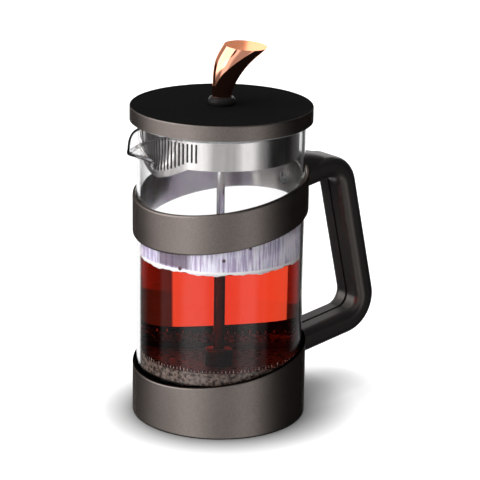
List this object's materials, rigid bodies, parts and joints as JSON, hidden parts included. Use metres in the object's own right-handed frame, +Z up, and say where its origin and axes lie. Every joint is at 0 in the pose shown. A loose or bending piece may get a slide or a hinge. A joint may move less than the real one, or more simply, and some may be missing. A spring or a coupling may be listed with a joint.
{
  "type": "french press",
  "caption": "Glass french press in a sloping base cup and band with a loop handle, lift-off lid with slotted strainer sleeve, and a sliding filter plunger with a curved knob.",
  "frame": {"origin": "centre of the foot pad's underside, on the beaker's axis", "axes": "+Z up along the beaker, +X towards the handle, -X towards the spout"},
  "size_m": [0.1741, 0.1032, 0.2165],
  "materials": {
    "charcoal_satin": "satin metallic charcoal coat",
    "handle_black": "fine matte black",
    "silicone_dark": "matte silicone",
    "seal_clear": "translucent silicone",
    "screw_steel": "bright zinc",
    "nut_brass": "turned brass",
    "clear_glass": "clear borosilicate, polished",
    "liner_black": "moulded black",
    "polished_steel": "mirror polished stainless steel",
    "collar_gloss": "glossy black",
    "guide_nylon": "self-lubricating nylon",
    "copper_polish": "polished copper tone plating",
    "pressed_steel": "pressed stainless sheet",
    "steel_mesh": "fine woven stainless wire",
    "spring_steel": "bright drawn wire"
  },
  "bodies": {
    "frame": {"base_cup": "charcoal_satin", "foot_pad": "silicone_dark", "glass_cushion": "silicone_dark", "holding_band": "charcoal_satin", "handle_left_half": "handle_black", "handle_right_half": "handle_black", "handle_screws": "screw_steel", "anchor_nuts": "nut_brass"},
    "beaker": {"beaker": "clear_glass"},
    "lid_seal": {"lid_seal": "seal_clear"},
    "lid": {"lid_cover": "charcoal_satin", "lid_liner": "liner_black", "lid_sleeve": "polished_steel", "strainer_gauze": "steel_mesh", "hub_collar": "collar_gloss", "hub_washer": "pressed_steel", "hub_nut": "pressed_steel"},
    "rod_guide": {"rod_guide": "guide_nylon"},
    "plunger": {"knob": "copper_polish", "rod": "polished_steel", "rod_hub": "polished_steel", "spiral_plate": "pressed_steel", "filter_spring": "spring_steel", "filter_mesh": "steel_mesh", "cross_plate": "pressed_steel", "filter_nut": "pressed_steel"}
  },
  "joints": [
    {"name": "beaker_lift", "type": "slide", "parent": "frame", "child": "beaker", "axis": [0, 0, 1], "range_m": [0, 0.15]},
    {"name": "lid_lift", "type": "slide", "parent": "beaker", "child": "lid_seal", "axis": [0, 0, 1], "range_m": [0, 0.17]},
    {"name": "lid_turn", "type": "hinge", "parent": "lid_seal", "child": "lid", "pos_m": [0, 0, 0.1744], "axis": [0, 0, 1], "continuous": true},
    {"name": "plunger_turn", "type": "hinge", "parent": "lid", "child": "rod_guide", "pos_m": [0, 0, 0.1818], "axis": [0, 0, 1], "continuous": true},
    {"name": "plunger_slide", "type": "slide", "parent": "rod_guide", "child": "plunger", "axis": [0, 0, 1], "range_m": [0, 0.104]}
  ]
}
